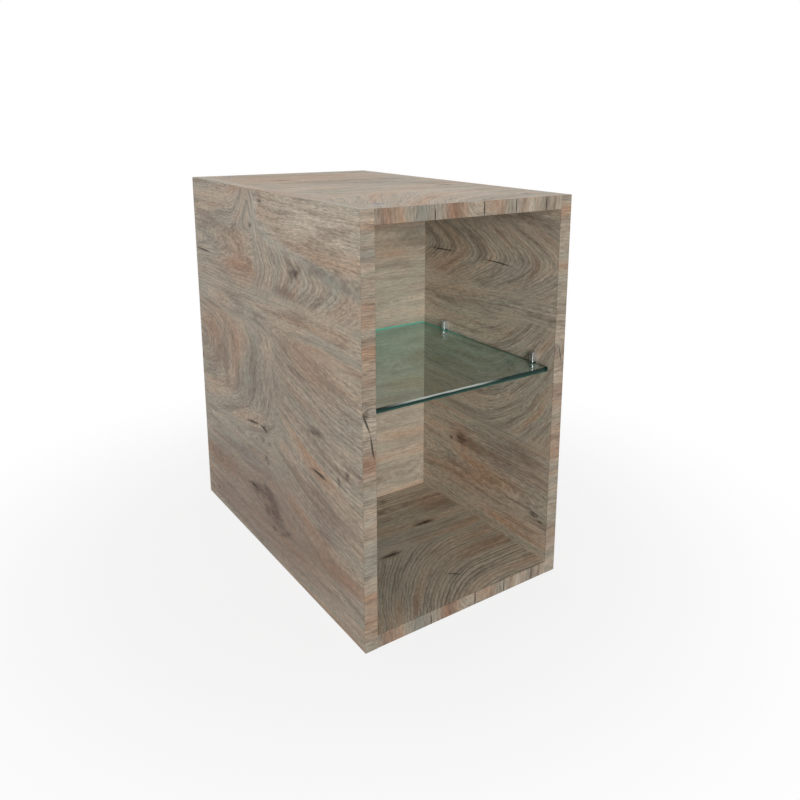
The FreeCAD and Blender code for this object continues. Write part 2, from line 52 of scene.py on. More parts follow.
def srgb(red, green, blue):
    """A colour as a picture shows it, 0 to 255, turned into the linear one that shaders take."""
    def linear(value):
        value /= 255
        return value / 12.92 if value <= 0.04045 else ((value + 0.055) / 1.055) ** 2.4
    return (linear(red), linear(green), linear(blue), 1.0)


class Graph:
    """Short calls that make and join the nodes of one tree."""

    def __init__(self, tree):
        self.tree = tree

    def node(self, kind, inputs=(), **settings):
        made = self.tree.nodes.new(f"ShaderNode{kind}")
        for name, value in settings.items():
            setattr(made, name, value)
        for socket, value in dict(inputs).items():
            self.feed(made.inputs[socket], value)
        return made

    def feed(self, socket, value):
        if isinstance(value, bpy.types.NodeSocket):
            self.tree.links.new(value, socket)
        else:
            socket.default_value = value

    def math(self, operation, *values):
        return self.node("Math", enumerate(values), operation=operation).outputs[0]

    def vector(self, operation, *values):
        made = self.node("VectorMath", enumerate(values), operation=operation)
        return made.outputs["Value" if operation in ("DOT_PRODUCT", "LENGTH") else "Vector"]

    def combine(self, x, y, z=0.0):
        return self.node("CombineXYZ", {"X": x, "Y": y, "Z": z}).outputs[0]

    def noise(self, point, detail=2.0, output="Fac"):
        return self.node("TexNoise", {"Vector": point, "Scale": 1.0, "Detail": detail}).outputs[output]

    def smooth(self, value, low, high, bottom=0.0, top=1.0):
        """A soft step from one level to another as a value passes from low to high."""
        made = self.node("MapRange", {"Value": value, "From Min": low, "From Max": high,
                                      "To Min": bottom, "To Max": top}, interpolation_type="SMOOTHSTEP")
        return made.outputs[0]

    def blend(self, factor, first, second, how="MIX"):
        inputs = {MIX_FACTOR: factor, MIX_A: first, MIX_B: second}
        return self.node("Mix", inputs, data_type="RGBA", blend_type=how).outputs[MIX_RESULT]

    def between(self, factor, first, second):
        """A number that goes from first to second as the factor goes from 0 to 1."""
        rise = self.math("SUBTRACT", second, first)
        return self.math("MULTIPLY_ADD", factor, rise, first)

    def swing(self, value, amount):
        """How far a noise value stands from its middle, times an amount."""
        return self.math("MULTIPLY_ADD", value, amount, -0.5 * amount)

    def ramp(self, value, *stops):
        made = self.node("ValToRGB", {"Fac": value})
        elements = made.color_ramp.elements
        elements[0].position, elements[0].color = stops[0]
        elements[1].position, elements[1].color = stops[-1]
        for place, colour in stops[1:-1]:
            elements.new(place).color = colour
        return made.outputs["Color"]

    def patch(self, point, u, v, half_length, half_height, turn=0.0, core=0.35):
        """1 inside an ellipse, falling to 0 at its rim."""
        placed = self.node("Mapping", {"Vector": point, "Location": (u, v, 0.0),
                                       "Rotation": (0.0, 0.0, math.radians(turn)),
                                       "Scale": (half_length, half_height, 1.0)}, vector_type="TEXTURE")
        return self.smooth(self.vector("LENGTH", placed.outputs[0]), 1.0, core)

    def largest(self, values):
        result = values[0]
        for value in values[1:]:
            result = self.math("MAXIMUM", result, value)
        return result


def new_group(name, inputs, outputs):
    """An empty node group, its drawing helper, and the sockets that come in."""
    tree = bpy.data.node_groups.new(name, "ShaderNodeTree")
    for direction, sockets in (("INPUT", inputs), ("OUTPUT", outputs)):
        for label, kind in sockets.items():
            tree.interface.new_socket(label, in_out=direction, socket_type=f"NodeSocket{kind}")
    graph = Graph(tree)
    entry = tree.nodes.new("NodeGroupInput")
    leave = tree.nodes.new("NodeGroupOutput")
    return graph, entry.outputs, leave.inputs


# Printed oak. A face has its own points in millimetres: u runs along the grain and v down across it.

PALE = srgb(198, 186, 168)
BEIGE = srgb(184, 169, 150)
TAN = srgb(176, 146, 121)
BROWN = srgb(128, 105, 89)
SAGE = srgb(166, 159, 143)
MIST = srgb(188, 184, 170)
SLATE = srgb(146, 146, 136)
KNOT = srgb(84, 65, 54)
CRACK = srgb(40, 32, 27)
RUST = srgb(156, 117, 92)
LATEWOOD = srgb(112, 90, 74)

# How much each mark changes the print: how far it blends in a colour, swings the tone or stands out.
BAND_BROWN, PORE_BROWN, CRACK_DARK = 0.42, 0.4, 0.9
BAND_TONE, STREAK_TONE, LINE_TONE, MEAN_TONE = -0.5, 0.72, 1.6, 1.07
LINE_RELIEF, PORE_RELIEF, KNOT_RELIEF, CRACK_RELIEF = 0.6, -0.8, -0.5, -1.6
PLANK_SOFTNESS = 14


def oval_field(g, point, heart, flatness, reach, corner=2.0, pace=1.0):
    """Distance from a heart. Its contours are the grain: ovals round the heart, then lines along u."""
    offset = g.node("SeparateXYZ", {0: g.vector("ABSOLUTE", g.vector("SUBTRACT", point, (*heart, 0.0)))})
    run = g.math("DIVIDE", offset.outputs[0], reach)
    slack = g.math("SQRT", g.math("MULTIPLY_ADD", run, run, 1.0))
    width = g.math("MULTIPLY", g.math("DIVIDE", offset.outputs[0], slack), flatness)
    powers = [g.math("POWER", length, corner) for length in (offset.outputs[1], width)]
    return g.math("MULTIPLY", g.math("POWER", g.math("ADD", *powers), 1 / corner), pace)


def sweep_field(g, point, start, radius, way, pace=1.0, level=0.0):
    """Lines along u that from a start on, one way or the other, curve up towards lower v. They are counted
    from a level."""
    part = g.node("SeparateXYZ", {0: point})
    past = g.math("MAXIMUM", g.math("MULTIPLY_ADD", part.outputs[0], way, -way * start), 0.0)
    rise = g.math("DIVIDE", g.math("MULTIPLY", past, past), 2 * radius)
    return g.math("MULTIPLY_ADD", g.math("ADD", part.outputs[1], rise), pace, level)


def peak_field(g, point, axis, steepness, blunt, growth=0.0, pace=1.0):
    """Peaks one inside the other along an axis, pointing towards higher u, and steeper there by a growth."""
    part = g.node("SeparateXYZ", {0: point})
    beside = g.math("SUBTRACT", part.outputs[1], axis)
    limb = g.math("SQRT", g.math("MULTIPLY_ADD", beside, beside, blunt * blunt))
    slope = g.math("MULTIPLY_ADD", part.outputs[0], growth, steepness)
    return g.math("MULTIPLY", g.math("MULTIPLY_ADD", limb, slope, part.outputs[0]), pace)


def grain(g, field, point, across, along, seed, detail=2.0):
    """Noise drawn out along the grain, with cells of a size across it and a length along it."""
    part = g.node("SeparateXYZ", {0: point})
    stretched = g.combine(g.math("DIVIDE", field, across), g.math("DIVIDE", part.outputs[0], along),
                          g.math("MULTIPLY_ADD", part.outputs[1], 1.5 / along, seed))
    return g.noise(stretched, detail)


def grain_marks(g, field, point, seed, ring_gap, faint, bold, width):
    """The marks of a stretch of grain: colour drift, bands, streaks, fine lines, pores and year rings.
    The rings go from bold near the heart to faint far out, and the bands have a width."""
    hue = grain(g, field, point, across=2.7 * width, along=220, seed=seed + 1.7)
    broad = grain(g, field, point, across=width, along=85, seed=seed + 4.2, detail=3.0)
    streak = grain(g, field, point, across=0.2 * width, along=60, seed=seed + 9.1)
    line = grain(g, field, point, across=1.0, along=9, seed=seed + 2.9)
    pore = g.smooth(grain(g, field, point, across=0.7, along=7, seed=seed + 6.3), 0.58, 0.70)
    year = g.math("FRACT", g.math("MULTIPLY_ADD", broad, 1.6, g.math("DIVIDE", field, ring_gap)))
    ring = g.math("MULTIPLY", g.smooth(year, 0.40, 0.90), g.smooth(year, 1.0, 0.90))
    ring = g.math("MULTIPLY", ring, g.smooth(field, 130, 20, faint, bold))
    ring = g.math("MULTIPLY", ring, g.smooth(hue, 0.36, 0.58, 0.4, 1.0))
    return dict(hue=hue, broad=broad, streak=streak, line=line, pore=pore, ring=ring)


def past_borders(g, point, borders, softness):
    """1 where a point lies past every border, each a direction and how far along it the border runs."""
    masks = [g.smooth(g.vector("DOT_PRODUCT", point, (*tilt, 0.0)), level - softness, level + softness)
             for tilt, level in borders]
    result = masks[0]
    for mask in masks[1:]:
        result = g.math("MULTIPLY", result, mask)
    return result


def drift(g, point, length, height, start, detail):
    """Noise in each direction, about zero, with cells of a length and a height."""
    placed = g.vector("MULTIPLY_ADD", point, (1 / length, 1 / height, 0), start)
    return g.vector("SUBTRACT", g.noise(placed, detail, output="Color"), (0.5, 0.5, 0.5))


def oak_decor(name, planks, overlays=(), knots=(), cracks=(), tints=(), ring_gap=4.0, rings=0.45,
              contrast=1.0, wander=1.0, seed=0.0):
    """A node group that colours one face of a board and gives the height of its grain."""
    g, entry, leave = new_group(name, {"Point": "Vector"}, {"Colour": "Color", "Height": "Float"})
    point = entry["Point"]
    slow = drift(g, point, 150, 60, start=(seed, 3.1, seed), detail=2.0)
    quick = drift(g, point, 34, 14, start=(seed, 8.7, 1.0), detail=3.0)
    # The drifts move points so many millimetres along u and v: for planks, for overlays, for knots and tints,
    # and for cracks.
    warped = g.vector("MULTIPLY_ADD", slow, (44, 11, 0), point)
    warped = g.vector("MULTIPLY_ADD", quick, (4, 1.6, 0), warped)
    calm = g.vector("MULTIPLY_ADD", slow, (14, 14, 0), point)
    calm = g.vector("MULTIPLY_ADD", quick, (2.0, 1.6, 0), calm)
    ragged = g.vector("MULTIPLY_ADD", quick, (18 * wander, 12 * wander, 0), point)
    torn = g.vector("MULTIPLY_ADD", quick, (7 * wander, 4 * wander, 0), point)

    field = None
    for borders, make_field, shape in planks:
        plank = make_field(g, warped, **shape)
        if field is None:
            field = plank
        else:
            field = g.between(past_borders(g, warped, borders, PLANK_SOFTNESS), field, plank)
    marks = grain_marks(g, field, point, seed, ring_gap, faint=0.4, bold=0.75, width=9.0)
    for number, (borders, softness, make_field, shape) in enumerate(overlays):
        field = make_field(g, calm, **shape)
        above = grain_marks(g, field, point, seed + 11 + number, ring_gap, faint=0.8, bold=1.0, width=6.5)
        mask = past_borders(g, warped, borders, softness)
        marks = {mark: g.between(mask, marks[mark], above[mark]) for mark in marks}
    broad, streak, line, pore = (marks[mark] for mark in ("broad", "streak", "line", "pore"))

    colour = g.ramp(marks["hue"], (0.32, TAN), (0.46, BEIGE), (0.56, SAGE), (0.68, BEIGE))
    for u, v, half_length, half_height, turn, tint, strength in tints:
        mask = g.math("MULTIPLY", g.patch(ragged, u, v, half_length, half_height, turn, 0.0), strength)
        colour = g.blend(mask, colour, tint)
    colour = g.blend(g.smooth(broad, 0.48, 0.68, 0.0, BAND_BROWN * contrast), colour, BROWN)
    colour = g.blend(g.math("MULTIPLY", marks["ring"], rings * contrast), colour, LATEWOOD)
    tone = g.math("ADD", g.swing(line, LINE_TONE * contrast), MEAN_TONE)
    tone = g.math("ADD", g.swing(streak, STREAK_TONE * contrast), tone)
    tone = g.math("ADD", g.swing(broad, BAND_TONE * contrast), tone)
    colour = g.blend(1.0, colour, g.combine(tone, tone, tone), "MULTIPLY")
    colour = g.blend(g.math("MULTIPLY", pore, PORE_BROWN), colour, BROWN)
    height = g.math("MULTIPLY_ADD", pore, PORE_RELIEF, g.swing(line, LINE_RELIEF))
    if knots:
        mask = g.largest([g.patch(ragged, *knot) for knot in knots])
        mask = g.math("MULTIPLY", mask, g.smooth(line, 0.68, 0.40, 0.60, 1.0))
        mask = g.math("MULTIPLY", mask, g.smooth(streak, 0.62, 0.42, 0.60, 1.0))
        colour = g.blend(mask, colour, KNOT)
        height = g.math("MULTIPLY_ADD", mask, KNOT_RELIEF, height)
    if cracks:
        mask = g.largest([g.patch(torn, *crack) for crack in cracks])
        colour = g.blend(g.math("MULTIPLY", mask, CRACK_DARK), colour, CRACK)
        height = g.math("MULTIPLY_ADD", mask, CRACK_RELIEF, height)
    g.feed(leave["Colour"], colour)
    g.feed(leave["Height"], height)
    return g.tree


# A plank lies past its borders and has a field with its shape: for ovals the heart (u, v), how flat they are
# and how far they reach, and where needed how square they are and, as pace, how close the lines lie. An
# overlay fades in over the planks, past its own borders and over some softness. Knots, cracks and tints have
# u, v, half length and half height, then a turn in degrees. A knot may end with the share of it that is
# solid, and a tint ends with its colour and strength.
DOWNWARD, UPWARD = (0.0, 1.0), (0.0, -1.0)
ONWARD, BACKWARD = (1.0, 0.0), (-1.0, 0.0)
side_decor = oak_decor(
    "oak_side",
    planks=[((), oval_field, dict(heart=(-200, 80), flatness=0.1, reach=300)),
            ([(UPWARD, -52), (BACKWARD, -204)], sweep_field,
             dict(start=120, radius=58, way=1, pace=-1.0, level=80.0)),
            ([(DOWNWARD, 165)], oval_field,
             dict(heart=(5, 228), flatness=0.5, reach=900, pace=0.65, corner=2.6)),
            ([((0.12, 1.0), 345)], oval_field, dict(heart=(215, 405), flatness=0.28, reach=60, pace=1.2))],
    overlays=[([((-0.15, 1.0), 22), (ONWARD, 205), (UPWARD, -122)], 14, peak_field,
               dict(axis=92, steepness=-1.2, growth=0.0085, blunt=6, pace=0.3)),
              ([(DOWNWARD, 172), (ONWARD, 252), (UPWARD, -420)], 24, sweep_field,
               dict(start=480, radius=560, way=-1, pace=0.6))],
    knots=[(317, 85, 24, 11, -28, 0.1), (228, 12, 11, 7, -35, 0.0), (195, 43, 10, 5, -10, 0.0),
           (219, 303, 11, 9, 0, 0.1), (210, 320, 9, 6, 0, 0.0), (221, 345, 8, 8, 0, 0.0),
           (190, 400, 42, 10, -4, 0.2), (222, 396, 28, 19, 20, 0.2), (240, 412, 33, 27, 30, 0.2),
           (215, 418, 20, 12, 20, 0.0), (234, 436, 10, 5, 0, 0.0), (425, 284, 8, 8, 0, 0.0),
           (408, 299, 7, 6, 0, 0.1), (352, 260, 36, 7, -6, 0.0), (40, 460, 8, 6, 0, 0.0),
           (75, 470, 8, 4, 0, 0.0), (4, 258, 7, 6, 0, 0.0), (268, 428, 36, 5, -28, 0.0)],
    cracks=[(178, 307, 26, 2.6, -10), (212, 304, 14, 2.6, 5), (362, 309, 24, 2.8, 3),
            (176, 400, 16, 2.6), (30, 99, 36, 1.8)],
    tints=[(95, 50, 140, 16, 0, SLATE, 0.6), (209, 24, 16, 52, 6, MIST, 1.0),
           (240, 52, 46, 11, 14, MIST, 0.9), (380, 75, 120, 12, 9, SLATE, 0.9),
           (400, 20, 110, 40, 0, PALE, 0.8), (110, 18, 130, 18, 0, PALE, 0.7),
           (275, 60, 90, 14, 8, MIST, 0.7), (400, 58, 90, 10, 6, TAN, 0.8),
           (150, 362, 190, 26, 0, SLATE, 0.9), (290, 395, 60, 17, 0, SAGE, 0.9),
           (290, 455, 220, 18, 0, SAGE, 0.8), (185, 250, 60, 60, 0, SLATE, 0.8),
           (80, 400, 170, 26, 0, BROWN, 0.6), (380, 345, 140, 40, 4, BROWN, 0.6),
           (150, 108, 130, 30, 0, RUST, 0.5), (50, 210, 90, 60, 0, RUST, 0.5),
           (340, 190, 130, 34, 12, RUST, 0.5), (95, 245, 16, 60, 0, BROWN, 0.7),
           (236, 240, 30, 80, 0, BEIGE, 0.4), (350, 22, 190, 56, 0, PALE, 1.0),
           (295, 113, 60, 11, 0, BROWN, 0.8), (415, 275, 60, 34, 0, BEIGE, 0.7),
           (90, 135, 160, 22, 0, BEIGE, 0.6), (390, 415, 120, 22, -4, RUST, 0.7),
           (60, 452, 150, 34, 0, BROWN, 0.6), (228, 404, 52, 36, 20, BROWN, 0.7),
           # On the left face v runs down, so the two wide brown tints at v 420 and 250 darken its lower part:
           # partly print tone, partly painted shade for the light falling off towards the bottom. On the
           # right face they lie near the top.
           (231, 420, 340, 120, 0, BROWN, 0.75), (125, 230, 22, 70, 0, RUST, 0.5),
           (231, 250, 330, 110, 0, BROWN, 0.25)],
    seed=0.0)
wall_decor = oak_decor(
    "oak_wall",
    planks=[((), oval_field, dict(heart=(-200, 72), flatness=0.15, reach=500)),
            ([(DOWNWARD, 295)], oval_field, dict(heart=(-40, 380), flatness=0.2, reach=90))],
    overlays=[([(DOWNWARD, 24), (UPWARD, -112)], 18, peak_field,
               dict(axis=72, steepness=2.2, blunt=14, pace=0.45)),
              ([(DOWNWARD, 150), (UPWARD, -298)], 18, sweep_field,
               dict(start=120, radius=105, way=1, pace=0.9))],
    knots=[(92, 342, 14, 12), (70, 350, 8, 5), (244, 392, 10, 5), (255, 398, 8, 3)],
    cracks=[(42, 78, 34, 1.2), (160, 79, 36, 1.2)],
    tints=[(140, 20, 160, 18, 0, BEIGE, 0.5), (200, 340, 120, 40, 0, BROWN, 0.45),
           (92, 342, 40, 26, 0, RUST, 0.6), (200, 90, 60, 40, 0, SLATE, 0.5),
           (60, 100, 90, 24, 0, RUST, 0.6), (80, 140, 140, 20, 0, RUST, 0.4),
           (90, 400, 160, 24, 0, TAN, 0.6), (215, 215, 70, 60, 0, SAGE, 0.5),
           (110, 185, 170, 50, 0, PALE, 0.6), (140, 90, 260, 130, 0, PALE, 0.35)],
    seed=21.0)
floor_decor = oak_decor(
    "oak_floor",
    planks=[((), oval_field, dict(heart=(-120, 225), flatness=0.12, reach=200))],
    overlays=[([(UPWARD, -122)], 12, sweep_field, dict(start=185, radius=92, way=-1, pace=0.65))],
    knots=[(98, 124, 26, 8, 0, 0.0), (181, 167, 26, 7, 0, 0.0), (165, 250, 16, 8, 0, 0.0)],
    cracks=[(181, 167, 20, 1.8), (98, 124, 20, 1.8), (139, 45, 12, 1.6, -40)],
    tints=[(225, 215, 60, 40, 0, RUST, 0.6), (100, 150, 120, 26, 0, SLATE, 0.5),
           (60, 90, 50, 40, 0, BROWN, 0.4), (120, 60, 160, 60, 0, SAGE, 0.4),
           (90, 140, 240, 180, 0, MIST, 0.3)],
    rings=1.0, contrast=0.8, seed=43.0)
top_decor = oak_decor(
    "oak_top",
    planks=[((), oval_field, dict(heart=(-120, 300), flatness=0.12, reach=200))],
    overlays=[([(UPWARD, -118)], 12, sweep_field, dict(start=195, radius=92, way=-1, pace=0.65))],
    knots=[(62, 345, 30, 9, -6, 0.0), (220, 180, 22, 7, 0, 0.0)],
    tints=[(150, 265, 120, 24, -10, BROWN, 0.5), (60, 250, 90, 26, 0, BEIGE, 0.6),
           (225, 205, 50, 20, 0, RUST, 0.6), (60, 420, 120, 20, 0, BROWN, 0.4),
           (190, 120, 110, 50, 0, PALE, 0.4), (100, 60, 160, 60, 0, TAN, 0.35),
           (80, 360, 220, 130, 0, TAN, 0.65), (200, 70, 140, 90, 0, PALE, 0.4)],
    contrast=0.85, seed=81.0)
plain_decor = oak_decor(
    "oak_plain",
    planks=[((), oval_field, dict(heart=(-300, 60), flatness=0.1, reach=300)),
            ([(DOWNWARD, 150)], oval_field, dict(heart=(520, 250), flatness=0.12, reach=300)),
            ([(DOWNWARD, 330)], oval_field, dict(heart=(-200, 420), flatness=0.1, reach=300))],
    knots=[(60, 190, 9, 6)],
    cracks=[(75, 192, 20, 1.4)],
    tints=[(125, 230, 500, 500, 0, BROWN, 0.2)],
    contrast=0.6, seed=67.0)
# On an edging strip u runs across its width, from the middle, and v along its length.
upright_decor = oak_decor(
    "end_grain_upright",
    planks=[((), oval_field, dict(heart=(-2, 206), flatness=0.4, reach=60))],
    knots=[(-4, 208, 6, 7, 0, 0.0)],
    cracks=[(-4, 216, 16, 1.6, 68), (3, 244, 20, 1.5, 80)],
    tints=[(0, 46, 60, 14, 0, SLATE, 0.8), (0, 90, 60, 26, 0, BROWN, 0.3),
           (0, 150, 60, 40, 0, TAN, 0.5), (0, 220, 60, 13, 0, PALE, 0.7),
           (0, 262, 60, 24, 0, RUST, 0.8), (0, 375, 60, 30, 0, SLATE, 0.6),
           (0, 450, 60, 30, 0, TAN, 0.5)],
    ring_gap=5.0, wander=0.25, seed=101.0)
far_upright_decor = oak_decor(
    "end_grain_far_upright",
    planks=[((), oval_field, dict(heart=(-30, 182), flatness=0.4, reach=60))],
    cracks=[(1, 190, 14, 0.9, 76)],
    tints=[(0, 40, 60, 20, 0, BEIGE, 0.6), (0, 110, 60, 30, 0, SAGE, 0.5),
           (0, 188, 60, 16, 0, BROWN, 0.5), (0, 222, 60, 20, 0, PALE, 0.6),
           (0, 300, 60, 40, 0, TAN, 0.5), (0, 400, 60, 40, 0, SAGE, 0.5)],
    ring_gap=5.0, wander=0.25, seed=113.0)
crossing_decor = oak_decor(
    "end_grain_crossing",
    planks=[((), oval_field, dict(heart=(-12, 152), flatness=0.9, reach=60))],
    cracks=[(0, 152, 14, 1.3), (0, 197, 14, 0.9), (0, 242, 12, 1.0), (2, 88, 8, 1.0)],
    tints=[(0, 30, 60, 18, 0, RUST, 0.7), (0, 72, 60, 16, 0, SLATE, 0.8),
           (0, 112, 60, 20, 0, RUST, 0.9), (0, 145, 60, 10, 0, PALE, 0.6),
           (0, 175, 60, 14, 0, TAN, 0.7), (0, 220, 60, 20, 0, PALE, 0.6),
           (0, 244, 60, 6, 0, BROWN, 0.5), (0, 275, 60, 12, 0, SLATE, 0.6)],
    ring_gap=5.0, wander=0.25, seed=127.0)


def new_material(name):
    material = bpy.data.materials.new(name)
    material.use_nodes = True
    material.node_tree.nodes.clear()
    return material, Graph(material.node_tree)


def finish_material(g, shader, volume=None):
    output = g.node("OutputMaterial", {"Surface": shader})
    if volume is not None:
        g.feed(output.inputs["Volume"], volume)


def object_point(g):
    """The point on the unit, in millimetres from the middle of its footprint."""
    place = g.node("TexCoord").outputs["Object"]
    return g.vector("MULTIPLY", place, (MILLIMETRES,) * 3)


def face_point(g, point, along, across, u_start, v_start):
    """A face's own point, from the directions in which its u and its v run."""
    u = g.math("ADD", g.vector("DOT_PRODUCT", point, along), u_start)
    v = g.math("ADD", g.vector("DOT_PRODUCT", point, across), v_start)
    return g.combine(u, v)


def use_group(g, tree, **inputs):
    made = g.node("Group", node_tree=tree)
    for name, value in inputs.items():
        g.feed(made.inputs[name], value)
    return made.outputs


def print_material(name, decor, layout, shade, roughness):
    """A printed face or strip: the decor's colour times a shade, with the grain slightly in relief. On the
    front and rear edging strips the shade is painted shade.
    """
    material, g = new_material(name)
    printed = use_group(g, decor, Point=face_point(g, object_point(g), *layout))
    colour = g.blend(1.0, printed["Colour"], shade, "MULTIPLY")
    bump = g.node("Bump", {"Strength": 0.35, "Distance": 0.0004, "Height": printed["Height"]}).outputs[0]
    rough = g.math("MULTIPLY_ADD", printed["Height"], -0.08, roughness)
    shader = g.node("BsdfPrincipled", {"Base Color": colour, "Roughness": rough, "Normal": bump,
                                       "Specular IOR Level": 0.35})
    finish_material(g, shader.outputs[0])
    return material


def core_material():
    """Bare chipboard, as it shows in the holes: pale chips with darker flecks."""
    material, g = new_material("chipboard_core")
    point = object_point(g)
    chips = g.node("TexVoronoi", {"Vector": point, "Scale": 0.7}).outputs["Color"]
    chip = g.node("SeparateXYZ", {0: chips}).outputs[0]
    fleck = g.noise(g.vector("MULTIPLY", point, (0.9, 0.9, 0.9)), 3.0)
    colour = g.ramp(chip, (0.1, srgb(168, 132, 92)), (0.5, srgb(196, 164, 122)), (0.9, srgb(212, 186, 148)))
    colour = g.blend(g.smooth(fleck, 0.58, 0.7), colour, srgb(128, 96, 64))
    bump = g.node("Bump", {"Strength": 0.5, "Distance": 0.0004, "Height": chip}).outputs[0]
    rough = g.math("MULTIPLY_ADD", fleck, 0.15, 0.8)
    shader = g.node("BsdfPrincipled", {"Base Color": colour, "Roughness": rough, "Normal": bump})
    finish_material(g, shader.outputs[0])
    return material


X, Y, Z = (1.0, 0.0, 0.0), (0.0, 1.0, 0.0), (0.0, 0.0, 1.0)
BACK_X, BACK_Y, DOWN = (-1.0, 0.0, 0.0), (0.0, -1.0, 0.0), (0.0, 0.0, -1.0)
# The faces keep their print as it is. The edging's shade is painted shade: it darkens the front and rear
# edging strips to stand in for less light than the strong front lamp gives them, so they are darker than the
# faces from every side.
FACE_SHADE = (1.0, 1.0, 1.0, 1.0)
EDGING_PAINTED_SHADE = (0.70, 0.69, 0.68, 1.0)
FACE_ROUGHNESS, EDGING_ROUGHNESS = 0.55, 0.5
ON_FACE = 1e-5
CHIPBOARD = core_material()


def dress(names, material):
    for name in names:
        data = nodes[name].data
        data.materials.clear()
        data.materials.append(material)


def face_board(name, axis, low_face, high_face):
    """Prints a board's two faces, each with its decor and layout. Its edges and holes are bare chipboard."""
    data = nodes[name].data
    data.materials.clear()
    for end, (decor, layout) in (("low", low_face), ("high", high_face)):
        face = print_material(f"{name}_{end}_face", decor, layout, FACE_SHADE, FACE_ROUGHNESS)
        data.materials.append(face)
    data.materials.append(CHIPBOARD)
    chipboard_slot = len(data.materials) - 1
    axis = Vector(axis)
    levels = [corner.dot(axis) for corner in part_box(name)]
    for polygon in data.polygons:
        level = polygon.center.dot(axis)
        on_face = [abs(level - face_level) < ON_FACE for face_level in levels]
        polygon.material_index = on_face.index(True) if any(on_face) else chipboard_slot


# A layout has the directions of u and v, and where on the face they start.
wall_layout = (BACK_Y, DOWN, BACK_FACE, CEILING)
level_layout = (X, Y, INNER_HALF_WIDTH, HALF_DEPTH)
turned_level_layout = (BACK_X, Y, INNER_HALF_WIDTH, HALF_DEPTH)
face_board("left_side_panel", X,
           (side_decor, (BACK_Y, DOWN, HALF_DEPTH, HEIGHT)), (wall_decor, wall_layout))
face_board("right_side_panel", X,
           (wall_decor, wall_layout), (side_decor, (Y, Z, HALF_DEPTH, 0.0)))
face_board("top_panel", Z, (floor_decor, turned_level_layout), (top_decor, level_layout))
face_board("bottom_panel", Z, (plain_decor, turned_level_layout), (floor_decor, level_layout))
face_board("back_panel", Y, (plain_decor, (X, DOWN, INNER_HALF_WIDTH, CEILING)),
           (wall_decor, (BACK_X, DOWN, INNER_HALF_WIDTH, CEILING)))


def dress_edging(names, label, decor, layout, shade):
    dress(names, print_material(f"edging_{label}", decor, layout, shade, EDGING_ROUGHNESS))


def middle(name):
    """The middle of a node, in millimetres."""
    low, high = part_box(name)
    return MILLIMETRES * (low + high) / 2


# The front and rear strips of the sides take the painted shade; their top and bottom strips take none.
for side, decor in (("left", upright_decor), ("right", far_upright_decor)):
    from_middle = -middle(f"{side}_side_front_edging").x
    dress_edging([f"{side}_side_{place}_edging" for place in ("front", "rear")],
                 f"{side}_upright", decor, (X, DOWN, from_middle, HEIGHT), EDGING_PAINTED_SHADE)
    dress_edging([f"{side}_side_{place}_edging" for place in ("top", "bottom")],
                 f"{side}_deep", plain_decor, (Y, X, HALF_DEPTH, from_middle), FACE_SHADE)
# The front and rear strips of the top and bottom panels take the painted shade too.
for level in ("top", "bottom"):
    from_middle = middle(f"{level}_panel_front_edging").z
    dress_edging([f"{level}_panel_{place}_edging" for place in ("front", "rear")],
                 f"{level}_crossing", crossing_decor, (DOWN, X, from_middle, HALF_WIDTH), EDGING_PAINTED_SHADE)


# Heights in millimetres above the underside of the glass, for its edges' painted greens and painted
# highlight.
GREEN_CHANGE = (1.0, 3.0)
GLEAM_SOFTNESS, WAVE_HEIGHT = 1.2, 2.0
GLASS_IOR, RIPPLE_LENGTH, LEVEL_NORMAL = 1.52, 60, 0.9


def glass_material():
    """Clear float glass with a grey-green cast. Lamps shine through it with the same tint."""
    material, g = new_material("shelf_glass")
    point = object_point(g)
    ripple = g.noise(g.vector("MULTIPLY", point, (1 / RIPPLE_LENGTH,) * 3), 2.0)
    bump = g.node("Bump", {"Strength": 0.02, "Distance": 0.0002, "Height": ripple}).outputs[0]
    body = g.node("BsdfPrincipled", {"Base Color": (0.81, 0.785, 0.80, 1.0), "Roughness": 0.0,
                                     "IOR": GLASS_IOR, "Transmission Weight": 1.0, "Normal": bump})
    clear = g.node("BsdfTransparent", {"Color": (0.80, 0.90, 0.85, 1.0)})
    shadow = g.node("LightPath").outputs["Is Shadow Ray"]
    mixed = g.node("MixShader", {0: shadow, 1: body.outputs[0], 2: clear.outputs[0]})
    volume = g.node("VolumeAbsorption", {"Color": (0.06, 0.92, 0.87, 1.0), "Density": 32.0})
    finish_material(g, mixed.outputs[0], volume.outputs[0])
    return material


def glass_edge_material(name, low, high, painted_gleam, along, gleam_from, gleam_to, gleam_middle, gleam_rise):
    """A polished glass edge, painted: one green below, another above, and a painted highlight. The greens are
    partly the glass's own colour and partly painted light, the glow and darkness that light inside the glass
    gives an edge. The highlight lies above a rise and fades along the edge, on both sides of its middle."""
    material, g = new_material(name)
    point = object_point(g)
    part = g.node("SeparateXYZ", {0: point})
    wave = g.noise(g.vector("MULTIPLY", point, (1 / 25, 1 / 25, 1 / 3)), 3.0)
    rise = g.math("ADD", part.outputs[2], g.swing(wave, WAVE_HEIGHT))
    colour = g.blend(g.smooth(rise, *(GLASS_BOTTOM + change for change in GREEN_CHANGE)), low, high)
    from_middle = g.math("ABSOLUTE", g.math("SUBTRACT", part.outputs[along], gleam_middle))
    gleam_level = GLASS_BOTTOM + gleam_rise
    # Painted highlight: a light band on the upper part of the edge, in place of a lamp's reflection.
    shine = g.math("MULTIPLY", g.smooth(rise, gleam_level, gleam_level + GLEAM_SOFTNESS),
                   g.smooth(from_middle, gleam_from, gleam_to))
    colour = g.blend(shine, colour, painted_gleam)
    rough = g.math("MULTIPLY_ADD", wave, 0.08, 0.03)
    shader = g.node("BsdfPrincipled", {"Base Color": colour, "Roughness": rough, "IOR": GLASS_IOR,
                                       "Specular IOR Level": 0.2})
    finish_material(g, shader.outputs[0])
    return material


